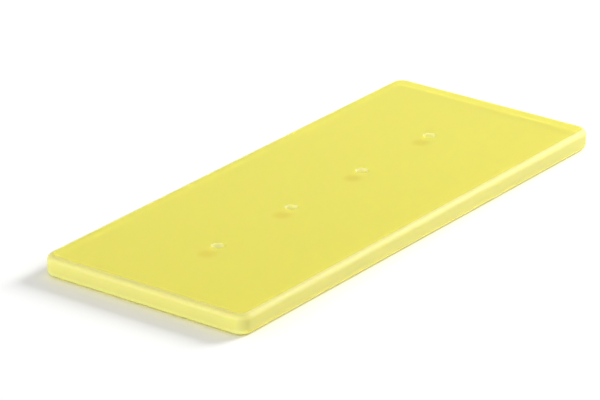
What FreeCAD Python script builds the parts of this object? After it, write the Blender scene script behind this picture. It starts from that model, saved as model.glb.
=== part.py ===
"""Squeegee applicator: one moulded slab of soft translucent urethane.

The slab lies flat on its underside. Its length runs along X, its width along Y and its
thickness along Z, with the origin at the centre of the underside. All its outer edges are
rounded, so that any of them can be drawn over a film. Four small round recesses are sunk
into the upper face, evenly spaced on the centre line.
"""

import FreeCAD, Part
import math
import os

import Sketcher

NODE = "squeegee_blade"
SHEET = "Sizes"
SIZES = (
    ("blade_length", 150.0, "overall, along X"),
    ("blade_width", 62.0, "overall, along Y"),
    ("blade_thickness", 5.5, "overall, along Z"),
    ("corner_radius", 3.5, "of the outline's four corners"),
    ("edge_radius", 1.5, "of the rounding round the upper and lower faces"),
    ("recess_diameter", 3.0, "of each small recess in the upper face"),
    ("recess_depth", 3.0, "below the upper face"),
    ("recess_pitch", 30.0, "between neighbouring recesses, along X"),
    ("recess_count", 4, "recesses on the centre line"),
)
ORIGIN_POINT = -1
X_AXIS = -1
START, END, CENTRE = 1, 2, 3
QUARTER_TURN = math.pi / 2
LEVEL_TOLERANCE = 1e-6
VOLUME_TOLERANCE = 1e-3


def make_sheet(doc):
    """Puts the driving dimensions in a spreadsheet, one alias to a row."""
    sheet = doc.addObject("Spreadsheet::Sheet", SHEET)
    for row, (alias, value, note) in enumerate(SIZES, start=1):
        sheet.set(f"A{row}", alias)
        sheet.set(f"B{row}", str(value))
        sheet.setAlias(f"B{row}", alias)
        sheet.set(f"C{row}", note)
    doc.recompute()
    return sheet


def origin_feature(body, role):
    """Finds one of a body's own origin planes or axes."""
    return next(item for item in body.Origin.OriginFeatures if item.Role == role)


def name_constraint(sketch, constraint, name, alias):
    """Adds a sized constraint and binds it to a cell of the sheet."""
    index = sketch.addConstraint(constraint)
    sketch.renameConstraint(index, name)
    sketch.setExpression(f"Constraints.{name}", f"{SHEET}.{alias}")


def sketch_outline(body, sheet):
    """Draws the slab's plan: a rectangle about the origin with four equal round corners."""
    sketch = body.newObject("Sketcher::SketchObject", "Outline")
    sketch.AttachmentSupport = (origin_feature(body, "XY_Plane"), [""])
    sketch.MapMode = "FlatFace"
    half_length = sheet.blade_length / 2
    half_width = sheet.blade_width / 2
    radius = sheet.corner_radius
    flat_x = half_length - radius
    flat_y = half_width - radius
    up = FreeCAD.Vector(0, 0, 1)
    sides = (
        ((-flat_x, -half_width), (flat_x, -half_width)),
        ((half_length, -flat_y), (half_length, flat_y)),
        ((flat_x, half_width), (-flat_x, half_width)),
        ((-half_length, flat_y), (-half_length, -flat_y)),
    )
    for start, end in sides:
        line = Part.LineSegment(FreeCAD.Vector(*start, 0), FreeCAD.Vector(*end, 0))
        sketch.addGeometry(line, False)
    corners = ((flat_x, -flat_y), (flat_x, flat_y), (-flat_x, flat_y), (-flat_x, -flat_y))
    for number, (x, y) in enumerate(corners):
        circle = Part.Circle(FreeCAD.Vector(x, y, 0), up, radius)
        first = (number - 1) * QUARTER_TURN
        sketch.addGeometry(Part.ArcOfCircle(circle, first, first + QUARTER_TURN), False)
    front, right, back, left = range(len(sides))
    arcs = range(len(sides), len(sides) + len(corners))
    for side, arc in enumerate(arcs):
        following = (side + 1) % len(sides)
        sketch.addConstraint(Sketcher.Constraint("Tangent", side, END, arc, START))
        sketch.addConstraint(Sketcher.Constraint("Tangent", arc, END, following, START))
    for side in (front, back):
        sketch.addConstraint(Sketcher.Constraint("Horizontal", side))
    for side in (right, left):
        sketch.addConstraint(Sketcher.Constraint("Vertical", side))
    for arc in arcs[1:]:
        sketch.addConstraint(Sketcher.Constraint("Equal", arcs[0], arc))
    centred = Sketcher.Constraint("Symmetric", front, START, back, START, ORIGIN_POINT, START)
    sketch.addConstraint(centred)
    corner = Sketcher.Constraint("Radius", arcs[0], radius)
    name_constraint(sketch, corner, "corner", "corner_radius")
    length = Sketcher.Constraint("DistanceX", left, START, right, START, sheet.blade_length)
    name_constraint(sketch, length, "length", "blade_length")
    width = Sketcher.Constraint("DistanceY", front, START, back, START, sheet.blade_width)
    name_constraint(sketch, width, "width", "blade_width")
    return sketch


def pad_slab(body, outline):
    """Raises the outline to the slab's thickness."""
    pad = body.newObject("PartDesign::Pad", "Slab")
    pad.Profile = outline
    pad.setExpression("Length", f"{SHEET}.blade_thickness")
    outline.Visibility = False
    return pad


def round_edges(body, pad):
    """Rounds every edge of the upper and the lower face, and leaves the corners' upright seams."""
    low, high = pad.Shape.BoundBox.ZMin, pad.Shape.BoundBox.ZMax
    level = [
        f"Edge{number}"
        for number, edge in enumerate(pad.Shape.Edges, start=1)
        if edge.BoundBox.ZLength < LEVEL_TOLERANCE
        and min(edge.BoundBox.ZMin - low, high - edge.BoundBox.ZMin) < LEVEL_TOLERANCE
    ]
    fillet = body.newObject("PartDesign::Fillet", "RoundedEdges")
    fillet.Base = (pad, level)
    fillet.setExpression("Radius", f"{SHEET}.edge_radius")
    return fillet


def sketch_recess(body, sheet):
    """Draws the mouth of the recess nearest the -X end, in the plane of the upper face."""
    sketch = body.newObject("Sketcher::SketchObject", "RecessMouth")
    sketch.AttachmentSupport = (origin_feature(body, "XY_Plane"), [""])
    sketch.MapMode = "FlatFace"
    sketch.setExpression("AttachmentOffset.Base.z", f"{SHEET}.blade_thickness")
    first_x = sheet.recess_pitch * (sheet.recess_count - 1) / 2
    up = FreeCAD.Vector(0, 0, 1)
    mouth = Part.Circle(FreeCAD.Vector(-first_x, 0, 0), up, sheet.recess_diameter / 2)
    circle = sketch.addGeometry(mouth, False)
    on_centre_line = Sketcher.Constraint("PointOnObject", circle, CENTRE, X_AXIS)
    sketch.addConstraint(on_centre_line)
    diameter = Sketcher.Constraint("Diameter", circle, sheet.recess_diameter)
    name_constraint(sketch, diameter, "mouth", "recess_diameter")
    offset = Sketcher.Constraint("DistanceX", circle, CENTRE, ORIGIN_POINT, START, first_x)
    index = sketch.addConstraint(offset)
    sketch.renameConstraint(index, "first")
    half_row = f"{SHEET}.recess_pitch * ({SHEET}.recess_count - 1) / 2"
    sketch.setExpression("Constraints.first", half_row)
    return sketch


def sink_recesses(body, mouth):
    """Sinks one recess into the upper face and repeats it along the centre line."""
    pocket = body.newObject("PartDesign::Pocket", "Recess")
    pocket.Profile = mouth
    pocket.setExpression("Length", f"{SHEET}.recess_depth")
    mouth.Visibility = False
    pattern = body.newObject("PartDesign::LinearPattern", "RecessRow")
    pattern.Originals = [pocket]
    pattern.Direction = (mouth, ["H_Axis"])
    pattern.setExpression("Length", f"{SHEET}.recess_pitch * ({SHEET}.recess_count - 1)")
    pattern.setExpression("Occurrences", f"{SHEET}.recess_count")
    body.Tip = pattern
    return pattern


def build(doc, sheet):
    """Builds the blade's body and returns it."""
    body = doc.addObject("PartDesign::Body", "SqueegeeBlade")
    body.Label = NODE
    outline = sketch_outline(body, sheet)
    pad = pad_slab(body, outline)
    doc.recompute()
    rounded = round_edges(body, pad)
    doc.recompute()
    sink_recesses(body, sketch_recess(body, sheet))
    doc.recompute()
    check_recesses(sheet, rounded.Shape.Volume - body.Shape.Volume)
    return body


def check_recesses(sheet, removed):
    """Stops unless the row of recesses took away the volume of that many plain cylinders."""
    mouth_area = math.pi * (sheet.recess_diameter / 2) ** 2
    expected = sheet.recess_count * mouth_area * sheet.recess_depth
    if not math.isclose(removed, expected, rel_tol=VOLUME_TOLERANCE):
        raise RuntimeError(f"the recesses took away {removed} mm3, not {expected} mm3")


def check(doc, body):
    """Stops unless every object was recomputed well and the blade is one valid solid."""
    for item in doc.Objects:
        if "Invalid" in item.State or "Error" in item.State:
            raise RuntimeError(f"{item.Name} failed: {item.State}")
    shape = body.Shape
    if shape.isNull() or not shape.isValid() or len(shape.Solids) != 1:
        raise RuntimeError(f"{body.Label} is not one valid solid")


def main():
    doc = FreeCAD.newDocument("SqueegeeApplicator")
    sheet = make_sheet(doc)
    body = build(doc, sheet)
    check(doc, body)
    os.makedirs("parts", exist_ok=True)
    body.Shape.exportStep(os.path.join("parts", f"{body.Label}.step"))
    print(body.Label, round(body.Shape.Volume, 1), "mm3")


main()
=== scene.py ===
"""The looks of the squeegee applicator: a slab of milky, translucent yellow urethane."""

import math

import bmesh
import bpy
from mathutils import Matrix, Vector


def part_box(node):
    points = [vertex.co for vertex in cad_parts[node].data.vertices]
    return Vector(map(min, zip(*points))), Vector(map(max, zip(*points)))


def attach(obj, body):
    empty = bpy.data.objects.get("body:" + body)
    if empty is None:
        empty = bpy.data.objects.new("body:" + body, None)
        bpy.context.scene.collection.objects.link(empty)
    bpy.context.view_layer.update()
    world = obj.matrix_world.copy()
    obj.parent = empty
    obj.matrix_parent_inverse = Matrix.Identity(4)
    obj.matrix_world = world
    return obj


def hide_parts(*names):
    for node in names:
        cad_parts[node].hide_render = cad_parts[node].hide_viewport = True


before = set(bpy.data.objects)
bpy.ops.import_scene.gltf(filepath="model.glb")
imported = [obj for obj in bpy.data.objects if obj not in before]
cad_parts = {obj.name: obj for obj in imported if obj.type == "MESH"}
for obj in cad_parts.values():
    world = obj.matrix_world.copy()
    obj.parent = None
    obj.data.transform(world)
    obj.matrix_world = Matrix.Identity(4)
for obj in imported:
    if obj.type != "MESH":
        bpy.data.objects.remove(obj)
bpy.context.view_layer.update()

NODE = "squeegee_blade"
MM = 0.001

# The slab's roundings and its four recesses, as in the CAD model.
CORNER_RADIUS = 3.5 * MM
EDGE_RADIUS = 1.5 * MM
RECESS_RADIUS = 1.5 * MM
RECESS_DEPTH = 3.0 * MM
RECESS_PITCH = 30.0 * MM
RECESS_COUNT = 4

# A recess's mouth and foot are rounded, and its foot ends in a small flat disc.
LIP_RADIUS = 0.15 * MM
ROOT_RADIUS = 0.5 * MM
DISC_RADIUS = 0.45 * MM

# How finely the mesh is divided. A recess stands in a square patch of finer grid, and its loops
# start at the angle of the patch's first corner.
CORNER_STEPS = 16
EDGE_STEPS = 10
WALL_STEPS = 3
FIELD_STEPS = 6
PATCH_STEPS = 12
PATCH_HALF = 2.4 * MM
PATCH_CORNER = 225
LIP_STEPS = 4
ROOT_STEPS = 6
RIM_WIDTH = 0.35 * MM

# The urethane. Absorption is per metre for red, green and blue.
ABSORPTION = (0.2, 3.0, 80.0)
IOR = 1.5
SCATTER_RADIUS = (0.003, 0.0026, 0.001)
# SLOPES are the upward parts of the normal at the stops of by_slope's ramp. Each tuple after it is
# for the faces, the lower rounding, the walls and the upper rounding, in that order.
SLOPES = (-1.0, -0.85, -0.6, -0.15, -0.02, 0.05, 0.35, 0.985, 0.9998)
# The first tint is for the long sides and the second for the short ends. Their faces and walls
# match, and their roundings differ only by painted light: the long sides' roundings are darker than
# the ends', a painted shade at the foot and over the highlight along the top edge, and the short
# ends' lower rounding is the brightest, a painted glow.
SIDE_TINT_AND_SHADE = ((1.0, 0.865, 0.065), (0.78, 0.72, 0.13), (0.995, 0.885, 0.27), (0.82, 0.77, 0.27))
END_TINT_AND_GLOW = ((1.0, 0.865, 0.065), (1.0, 0.98, 0.3), (0.995, 0.885, 0.27), (0.9, 0.84, 0.3))
CLEARNESS = (0.38, 0.2, 0.5, 0.3)
ROUGHNESS = (0.06, 0.3, 0.45, 0.6)
# How much milkier the short ends are, and how soon END_TINT_AND_GLOW takes over as a surface turns to them.
END_MILKINESS = 0.38
END_SHARE = 2.0
# What is added to the clearness for light that meets the surface from inside: the wall's value,
# rising to the face's by a power of the upward part of the normal.
INSIDE_WALL = 0.15
INSIDE_FACE = 1.0
INSIDE_POWER = 12.0
INSIDE_TINT = (1.0, 1.0, 1.0)
# Unevenness: a wide, faint cloudiness in clearness, and a fine grain in gloss and bump.
CLOUD_SCALE, CLOUD_DETAIL, CLOUD_DEPTH = 90.0, 3.0, 0.008
GRAIN_SCALE, GRAIN_DETAIL, GRAIN_DEPTH = 2600.0, 2.0, 0.05
BUMP_STRENGTH, BUMP_DEPTH = 0.01, 0.05 * MM
# The walls and feet of the recesses are paler and milkier.
RECESS_SHUT = 0.7
RECESS_TINT = (0.97, 0.92, 0.5)
# A painted shadow beside each recess, standing in for the shadow that the recess casts inside the
# slab: its place from the recess, its rim and its middle.
PAINTED_SHADOW_OFFSET = (-5.6 * MM, -1.1 * MM)
PAINTED_SHADOW_RADII = (3.2 * MM, 0.6 * MM)
PAINTED_SHADOW_TINT = (0.84, 0.70, 0.02)
PAINTED_SHADOW_DEPTH = 0.7

# The studio: a pale floor, a white surround that is brighter low down, and one soft key lamp.
FLOOR_HALF = 3.0
FLOOR_LEVEL = -0.05 * MM
FLOOR_ALBEDO = 0.92
FLOOR_ROUGHNESS = 0.6
SURROUND_AZIMUTH, SURROUND_ELEVATION = -90.0, -75.0
SURROUND_RANGE = (0.56, 2.1)
KEY_AZIMUTH, KEY_ELEVATION, KEY_DISTANCE = 69.0, 28.0, 1.2
KEY_SIZE = 0.46
KEY_POWER = 15.5

# The camera, shifted along its own right and up axes from where it would look at the origin.
CAMERA_AZIMUTH, CAMERA_ELEVATION, CAMERA_DISTANCE = -53.253, 22.837, 1.00534
CAMERA_RIGHT, CAMERA_UP = -6.83 * MM, 2.18 * MM
LENS, SENSOR = 238.425, 36.0
CLIP = (0.05, 20)


def steps(low, high, count):
    """count + 1 evenly spaced values from low to high."""
    return [low + (high - low) * i / count for i in range(count + 1)]


def quarter(count):
    """count + 1 evenly spaced angles over a quarter turn, in radians."""
    return [math.radians(a) for a in steps(0, 90, count)]


def nearest(values, target):
    """The index of the value that is closest to target."""
    return min(range(len(values)), key=lambda i: abs(values[i] - target))


def polar(azimuth, elevation, distance):
    """A point seen from the origin, with azimuth 0 on the -Y side."""
    a, e = math.radians(azimuth), math.radians(elevation)
    return Vector((math.sin(a) * math.cos(e), -math.cos(a) * math.cos(e), math.sin(e))) * distance


def recess_places():
    """Where each recess is along the length."""
    return [(i - (RECESS_COUNT - 1) / 2) * RECESS_PITCH for i in range(RECESS_COUNT)]


def side_profile(top, bottom):
    """(distance out, height) down the slab's side, from one face's rim to the other's."""
    flat = CORNER_RADIUS - EDGE_RADIUS
    rounding = [
        (flat + EDGE_RADIUS * math.sin(t), EDGE_RADIUS * (1 - math.cos(t)))
        for t in quarter(EDGE_STEPS)
    ]
    wall = steps(top - EDGE_RADIUS, bottom + EDGE_RADIUS, WALL_STEPS)[1:-1]
    made = [(flat - RIM_WIDTH, top)]
    made += [(out, top - drop) for out, drop in rounding]
    made += [(CORNER_RADIUS, z) for z in wall]
    made += [(out, bottom + rise) for out, rise in reversed(rounding)]
    return made + [(flat - RIM_WIDTH, bottom)]


def recess_profile():
    """(radius, depth) down a recess, from just outside its mouth to the disc of its foot."""
    made = [(RECESS_RADIUS + 2 * LIP_RADIUS, 0.0)]
    for t in quarter(LIP_STEPS):
        out = RECESS_RADIUS + LIP_RADIUS * (1 - math.sin(t))
        made.append((out, LIP_RADIUS * (1 - math.cos(t))))
    for t in quarter(ROOT_STEPS):
        out = RECESS_RADIUS - ROOT_RADIUS * (1 - math.cos(t))
        made.append((out, RECESS_DEPTH - ROOT_RADIUS * (1 - math.sin(t))))
    return made + [(DISC_RADIUS, RECESS_DEPTH)]


class Slab:
    """Builds the slab as rings of vertices round its outline, closed by a grid on each face."""

    def __init__(self, low, high):
        self.bm = bmesh.new()
        self.low, self.high = low, high
        self.centre = (low + high) / 2
        half = (high - low) / 2
        self.flat_x = half.x - CORNER_RADIUS
        self.flat_y = half.y - CORNER_RADIUS
        self.xs = self.stations(self.flat_x, recess_places())
        self.ys = self.stations(self.flat_y, [0.0])
        self.recess_walls = []

    def stations(self, end, centres):
        """Grid lines from -end to end, closer together in the patch round each centre."""
        made = []
        edge = -end
        for centre in centres:
            made += steps(edge, centre - PATCH_HALF, FIELD_STEPS)[:-1]
            made += steps(centre - PATCH_HALF, centre + PATCH_HALF, PATCH_STEPS)[:-1]
            edge = centre + PATCH_HALF
        return made + steps(edge, end, FIELD_STEPS)

    def vert(self, x, y, z):
        return self.bm.verts.new((self.centre.x + x, self.centre.y + y, z))

    def ring(self, out, z):
        """One vertex loop, `out` beyond the rectangle that joins the corners' centres."""
        fx, fy = self.flat_x, self.flat_y
        made = [(x, -fy - out) for x in self.xs]
        for cx, cy, start, side in (
            (fx, -fy, -90, [(fx + out, y) for y in self.ys]),
            (fx, fy, 0, [(x, fy + out) for x in reversed(self.xs)]),
            (-fx, fy, 90, [(-fx - out, y) for y in reversed(self.ys)]),
            (-fx, -fy, 180, []),
        ):
            for a in steps(start, start + 90, CORNER_STEPS)[1:-1]:
                turn = math.radians(a)
                made.append((cx + out * math.cos(turn), cy + out * math.sin(turn)))
            made += side
        return [self.vert(x, y, z) for x, y in made]

    def circle(self, x, radius, z):
        """A loop about a recess's axis, with as many vertices as its patch has round its rim."""
        count = 4 * PATCH_STEPS
        made = []
        for k in range(count):
            turn = math.radians(PATCH_CORNER + 360 * k / count)
            made.append(self.vert(x + radius * math.cos(turn), radius * math.sin(turn), z))
        return made

    def grid(self, z):
        """Vertices over the rectangle inside the corners' centres."""
        return [[self.vert(x, y, z) for y in self.ys] for x in self.xs]

    def cut_patches(self, grid):
        """Clears the recesses' patches. Returns the cells cleared and (place, rim loop) pairs."""
        n = PATCH_STEPS
        j0 = nearest(self.ys, -PATCH_HALF)
        cleared = set()
        rims = []
        for x in recess_places():
            i0 = nearest(self.xs, x - PATCH_HALF)
            cleared |= {(i0 + i, j0 + j) for i in range(n) for j in range(n)}
            loop = [grid[i0 + k][j0] for k in range(n)]
            loop += [grid[i0 + n][j0 + k] for k in range(n)]
            loop += [grid[i0 + n - k][j0 + n] for k in range(n)]
            loop += [grid[i0][j0 + n - k] for k in range(n)]
            rims.append((x, loop))
            for column in grid[i0 + 1:i0 + n]:
                for vertex in column[j0 + 1:j0 + n]:
                    self.bm.verts.remove(vertex)
        return cleared, rims

    def fill(self, grid, cleared):
        """Faces over the grid's cells that aren't cleared."""
        for i in range(len(self.xs) - 1):
            for j in range(len(self.ys) - 1):
                if (i, j) not in cleared:
                    near, far = grid[i], grid[i + 1]
                    self.bm.faces.new((near[j], far[j], far[j + 1], near[j + 1]))

    def outline(self, grid):
        """The grid's outer vertices once round, its corners repeated so that it matches a ring."""
        repeats = CORNER_STEPS - 1
        first, last = grid[0], grid[-1]
        loop = [column[0] for column in grid] + [last[0]] * repeats
        loop += last + [last[-1]] * repeats
        loop += [column[-1] for column in reversed(grid)] + [first[-1]] * repeats
        return loop + first[::-1] + [first[0]] * repeats

    def bridge(self, first, second):
        """Faces between two loops of equal count, leaving out doubled vertices."""
        count = len(first)
        for k in range(count):
            following = (k + 1) % count
            around = (first[k], first[following], second[following], second[k])
            corners = list(dict.fromkeys(around))
            if len(corners) > 2:
                self.bm.faces.new(corners)

    def sink(self, x, rim):
        """Makes a recess inside its patch's rim, and keeps the vertices of its wall and foot."""
        before = rim
        for radius, depth in recess_profile():
            loop = self.circle(x, radius, self.high.z - depth)
            if radius <= RECESS_RADIUS:
                self.recess_walls += loop
            self.bridge(before, loop)
            before = loop
        self.bm.faces.new(before)

    def build(self):
        top, bottom = self.high.z, self.low.z
        upper = self.grid(top)
        cleared, rims = self.cut_patches(upper)
        self.fill(upper, cleared)
        loops = [self.outline(upper)]
        loops += [self.ring(out, z) for out, z in side_profile(top, bottom)]
        lower = self.grid(bottom)
        self.fill(lower, set())
        loops.append(self.outline(lower))
        for first, second in zip(loops, loops[1:]):
            self.bridge(first, second)
        for x, rim in rims:
            self.sink(x, rim)
        return self.mesh()

    def mesh(self):
        """The finished mesh, smooth, with the attribute recess at 1 in the recesses."""
        bmesh.ops.recalc_face_normals(self.bm, faces=self.bm.faces[:])
        self.bm.verts.index_update()
        walls = [vertex.index for vertex in self.recess_walls]
        mesh = bpy.data.meshes.new("blade_slab")
        self.bm.to_mesh(mesh)
        self.bm.free()
        for polygon in mesh.polygons:
            polygon.use_smooth = True
        recess = mesh.attributes.new("recess", "FLOAT", "POINT")
        for index in walls:
            recess.data[index].value = 1.0
        return mesh


def math_node(nt, operation, *values):
    """A Math node's output, its inputs given as numbers or sockets."""
    node = nt.nodes.new("ShaderNodeMath")
    node.operation = operation
    for socket, value in zip(node.inputs, values):
        if isinstance(value, (int, float)):
            socket.default_value = value
        else:
            nt.links.new(value, socket)
    return node.outputs[0]


def map_range(nt, value, source, target, interpolation="LINEAR"):
    """Maps the range source to the range target."""
    node = nt.nodes.new("ShaderNodeMapRange")
    node.interpolation_type = interpolation
    for name, ends in (("From", source), ("To", target)):
        node.inputs[f"{name} Min"].default_value = ends[0]
        node.inputs[f"{name} Max"].default_value = ends[1]
    nt.links.new(value, node.inputs["Value"])
    return node.outputs[0]


def noise(nt, place, scale, detail):
    """Noise from 0 to 1 in the object's own coordinates."""
    node = nt.nodes.new("ShaderNodeTexNoise")
    node.inputs["Scale"].default_value = scale
    node.inputs["Detail"].default_value = detail
    nt.links.new(place, node.inputs["Vector"])
    return node.outputs["Fac"]


def mix(nt, factor, first, second):
    """A colour from the socket first to second, which is a constant or a socket too."""
    node = nt.nodes.new("ShaderNodeMix")
    node.data_type = "RGBA"
    a, b = [socket for socket in node.inputs if socket.type == "RGBA"]
    nt.links.new(first, a)
    if isinstance(second, tuple):
        b.default_value = (*second, 1)
    else:
        nt.links.new(second, b)
    nt.links.new(factor, node.inputs[0])
    return [socket for socket in node.outputs if socket.type == "RGBA"][0]


def by_slope(nt, slope, values):
    """Blends a number or a colour over the faces, lower rounding, walls and upper rounding."""
    face, foot, wall, edge = values
    node = nt.nodes.new("ShaderNodeValToRGB")
    stops = (face, face, foot, foot, wall, wall, edge, edge, face)
    elements = node.color_ramp.elements
    while len(elements) < len(stops):
        elements.new(0.5)
    for element, place, value in zip(elements, SLOPES, stops):
        element.position = (place + 1) / 2
        element.color = (*value, 1) if isinstance(value, tuple) else (value, value, value, 1)
    nt.links.new(slope, node.inputs[0])
    return node.outputs["Color"]


def painted_recess_shadows(nt, place):
    """The painted shadow beside each recess: its set depth at its middle, fading to 0 at its rim.
    """
    total = 0.0
    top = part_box(NODE)[1].z
    for x in recess_places():
        away = nt.nodes.new("ShaderNodeVectorMath")
        away.operation = "DISTANCE"
        away.inputs[1].default_value = (x + PAINTED_SHADOW_OFFSET[0], PAINTED_SHADOW_OFFSET[1], top)
        nt.links.new(place, away.inputs[0])
        mark = map_range(nt, away.outputs["Value"], PAINTED_SHADOW_RADII, (0.0, 1.0), "SMOOTHSTEP")
        total = math_node(nt, "ADD", mark, total)
    return math_node(nt, "MULTIPLY", total, PAINTED_SHADOW_DEPTH)


class Surface:
    """The nodes that the urethane's tint, clearness, roughness and bump are made from."""

    def __init__(self, nt):
        self.nt = nt
        self.place = nt.nodes.new("ShaderNodeTexCoord").outputs["Object"]
        geometry = nt.nodes.new("ShaderNodeNewGeometry")
        self.inside = geometry.outputs["Backfacing"]
        split = nt.nodes.new("ShaderNodeSeparateXYZ")
        nt.links.new(geometry.outputs["Normal"], split.inputs[0])
        self.up = split.outputs["Z"]
        self.slope = math_node(nt, "MULTIPLY_ADD", self.up, 0.5, 0.5)
        along = math_node(nt, "ABSOLUTE", split.outputs["X"])
        self.endways = math_node(nt, "POWER", along, 2.0)
        recess = nt.nodes.new("ShaderNodeAttribute")
        recess.attribute_name = "recess"
        self.recess = recess.outputs["Fac"]
        self.grain = noise(nt, self.place, GRAIN_SCALE, GRAIN_DETAIL)

    def tint(self):
        nt = self.nt
        # The short ends take the second tint, with its painted glow; the long sides take the first,
        # with its painted shade.
        share = math_node(nt, "MULTIPLY", self.endways, END_SHARE)
        share.node.use_clamp = True
        side = by_slope(nt, self.slope, SIDE_TINT_AND_SHADE)
        end = by_slope(nt, self.slope, END_TINT_AND_GLOW)
        tint = mix(nt, share, side, end)
        # Painted shadow: darkens the tint beside each recess.
        tint = mix(nt, painted_recess_shadows(nt, self.place), tint, PAINTED_SHADOW_TINT)
        tint = mix(nt, self.recess, tint, RECESS_TINT)
        return mix(nt, self.inside, tint, INSIDE_TINT)

    def clearness(self):
        """The share of light that passes through: less at the ends and in the recesses."""
        nt = self.nt
        milky = math_node(nt, "MULTIPLY", self.endways, END_MILKINESS)
        clear = math_node(nt, "SUBTRACT", by_slope(nt, self.slope, CLEARNESS), milky)
        cloud = noise(nt, self.place, CLOUD_SCALE, CLOUD_DETAIL)
        haze = map_range(nt, cloud, (0.0, 1.0), (CLOUD_DEPTH, -CLOUD_DEPTH))
        flatness = math_node(nt, "POWER", math_node(nt, "ABSOLUTE", self.up), INSIDE_POWER)
        level = math_node(nt, "MULTIPLY_ADD", flatness, INSIDE_FACE - INSIDE_WALL, INSIDE_WALL)
        inner = math_node(nt, "MULTIPLY", self.inside, level)
        passed = math_node(nt, "ADD", math_node(nt, "ADD", clear, haze), inner)
        shut = math_node(nt, "MULTIPLY", self.recess, RECESS_SHUT)
        return math_node(nt, "MULTIPLY", passed, math_node(nt, "SUBTRACT", 1.0, shut))

    def roughness(self):
        satin = by_slope(self.nt, self.slope, ROUGHNESS)
        uneven = map_range(self.nt, self.grain, (0.0, 1.0), (-GRAIN_DEPTH, GRAIN_DEPTH))
        return math_node(self.nt, "ADD", satin, uneven)

    def normal(self):
        bump = self.nt.nodes.new("ShaderNodeBump")
        bump.inputs["Strength"].default_value = BUMP_STRENGTH
        bump.inputs["Distance"].default_value = BUMP_DEPTH
        self.nt.links.new(self.grain, bump.inputs["Height"])
        return bump.outputs[0]


def urethane():
    """Clear urethane that absorbs blue, with a milky share that scatters light near the surface."""
    material = bpy.data.materials.new("urethane")
    material.use_nodes = True
    nt = material.node_tree
    shader = nt.nodes["Principled BSDF"]
    surface = Surface(nt)
    nt.links.new(surface.tint(), shader.inputs["Base Color"])
    nt.links.new(surface.clearness(), shader.inputs["Transmission Weight"])
    nt.links.new(surface.roughness(), shader.inputs["Roughness"])
    nt.links.new(surface.normal(), shader.inputs["Normal"])
    shader.inputs["IOR"].default_value = IOR
    shader.subsurface_method = "RANDOM_WALK"
    shader.inputs["Subsurface Weight"].default_value = 1.0
    shader.inputs["Subsurface Radius"].default_value = SCATTER_RADIUS
    shader.inputs["Subsurface Scale"].default_value = 1.0
    absorb = nt.nodes.new("ShaderNodeVolumeAbsorption")
    density = max(ABSORPTION)
    absorb.inputs["Color"].default_value = (*[1 - a / density for a in ABSORPTION], 1)
    absorb.inputs["Density"].default_value = density
    nt.links.new(absorb.outputs[0], nt.nodes["Material Output"].inputs["Volume"])
    return material


def show(name, data):
    """Puts data in the scene as an object of that name."""
    made = bpy.data.objects.new(name, data)
    bpy.context.scene.collection.objects.link(made)
    return made


def build_blade():
    low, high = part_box(NODE)
    mesh = Slab(low, high).build()
    mesh.materials.append(urethane())
    blade = show("blade_slab", mesh)
    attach(blade, "root")
    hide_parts(NODE)


def build_floor():
    bm = bmesh.new()
    corners = ((-1, -1), (1, -1), (1, 1), (-1, 1))
    verts = [bm.verts.new((x * FLOOR_HALF, y * FLOOR_HALF, FLOOR_LEVEL)) for x, y in corners]
    bm.faces.new(verts)
    mesh = bpy.data.meshes.new("floor")
    bm.to_mesh(mesh)
    bm.free()
    material = bpy.data.materials.new("floor")
    material.use_nodes = True
    shader = material.node_tree.nodes["Principled BSDF"]
    shader.inputs["Base Color"].default_value = (FLOOR_ALBEDO, FLOOR_ALBEDO, FLOOR_ALBEDO, 1)
    shader.inputs["Roughness"].default_value = FLOOR_ROUGHNESS
    mesh.materials.append(material)
    floor = show("floor", mesh)


def build_surround():
    """A white surround, graded along its axis from the range's dark end to its bright one."""
    world = bpy.data.worlds.new("studio")
    bpy.context.scene.world = world
    world.use_nodes = True
    nt = world.node_tree
    direction = nt.nodes.new("ShaderNodeTexCoord").outputs["Generated"]
    dot = nt.nodes.new("ShaderNodeVectorMath")
    dot.operation = "DOT_PRODUCT"
    dot.inputs[1].default_value = polar(SURROUND_AZIMUTH, SURROUND_ELEVATION, 1.0)
    nt.links.new(direction, dot.inputs[0])
    grade = map_range(nt, dot.outputs["Value"], (-1.0, 1.0), SURROUND_RANGE, "SMOOTHSTEP")
    nt.links.new(grade, nt.nodes["Background"].inputs["Color"])


def build_key():
    """The soft key lamp, turned towards the blade's middle."""
    lamp = bpy.data.lights.new("key", "AREA")
    lamp.shape = "SQUARE"
    lamp.size = KEY_SIZE
    lamp.energy = KEY_POWER
    key = show("key", lamp)
    key.location = polar(KEY_AZIMUTH, KEY_ELEVATION, KEY_DISTANCE)
    key.rotation_mode = "QUATERNION"
    key.rotation_quaternion = (-key.location).to_track_quat("-Z", "Y")


def build_camera():
    back = polar(CAMERA_AZIMUTH, CAMERA_ELEVATION, 1.0)
    turn = math.radians(CAMERA_AZIMUTH)
    right = Vector((math.cos(turn), math.sin(turn), 0))
    up = back.cross(right)
    lens = bpy.data.cameras.new("camera")
    lens.sensor_width = SENSOR
    lens.lens = LENS
    lens.clip_start, lens.clip_end = CLIP
    camera = show("camera", lens)
    camera.location = back * CAMERA_DISTANCE + right * CAMERA_RIGHT + up * CAMERA_UP
    camera.rotation_mode = "QUATERNION"
    camera.rotation_quaternion = (-back).to_track_quat("-Z", "Y")
    bpy.context.scene.camera = camera


build_camera()
build_surround()
build_key()
build_floor()
build_blade()
bpy.context.scene.view_settings.view_transform = "Standard"
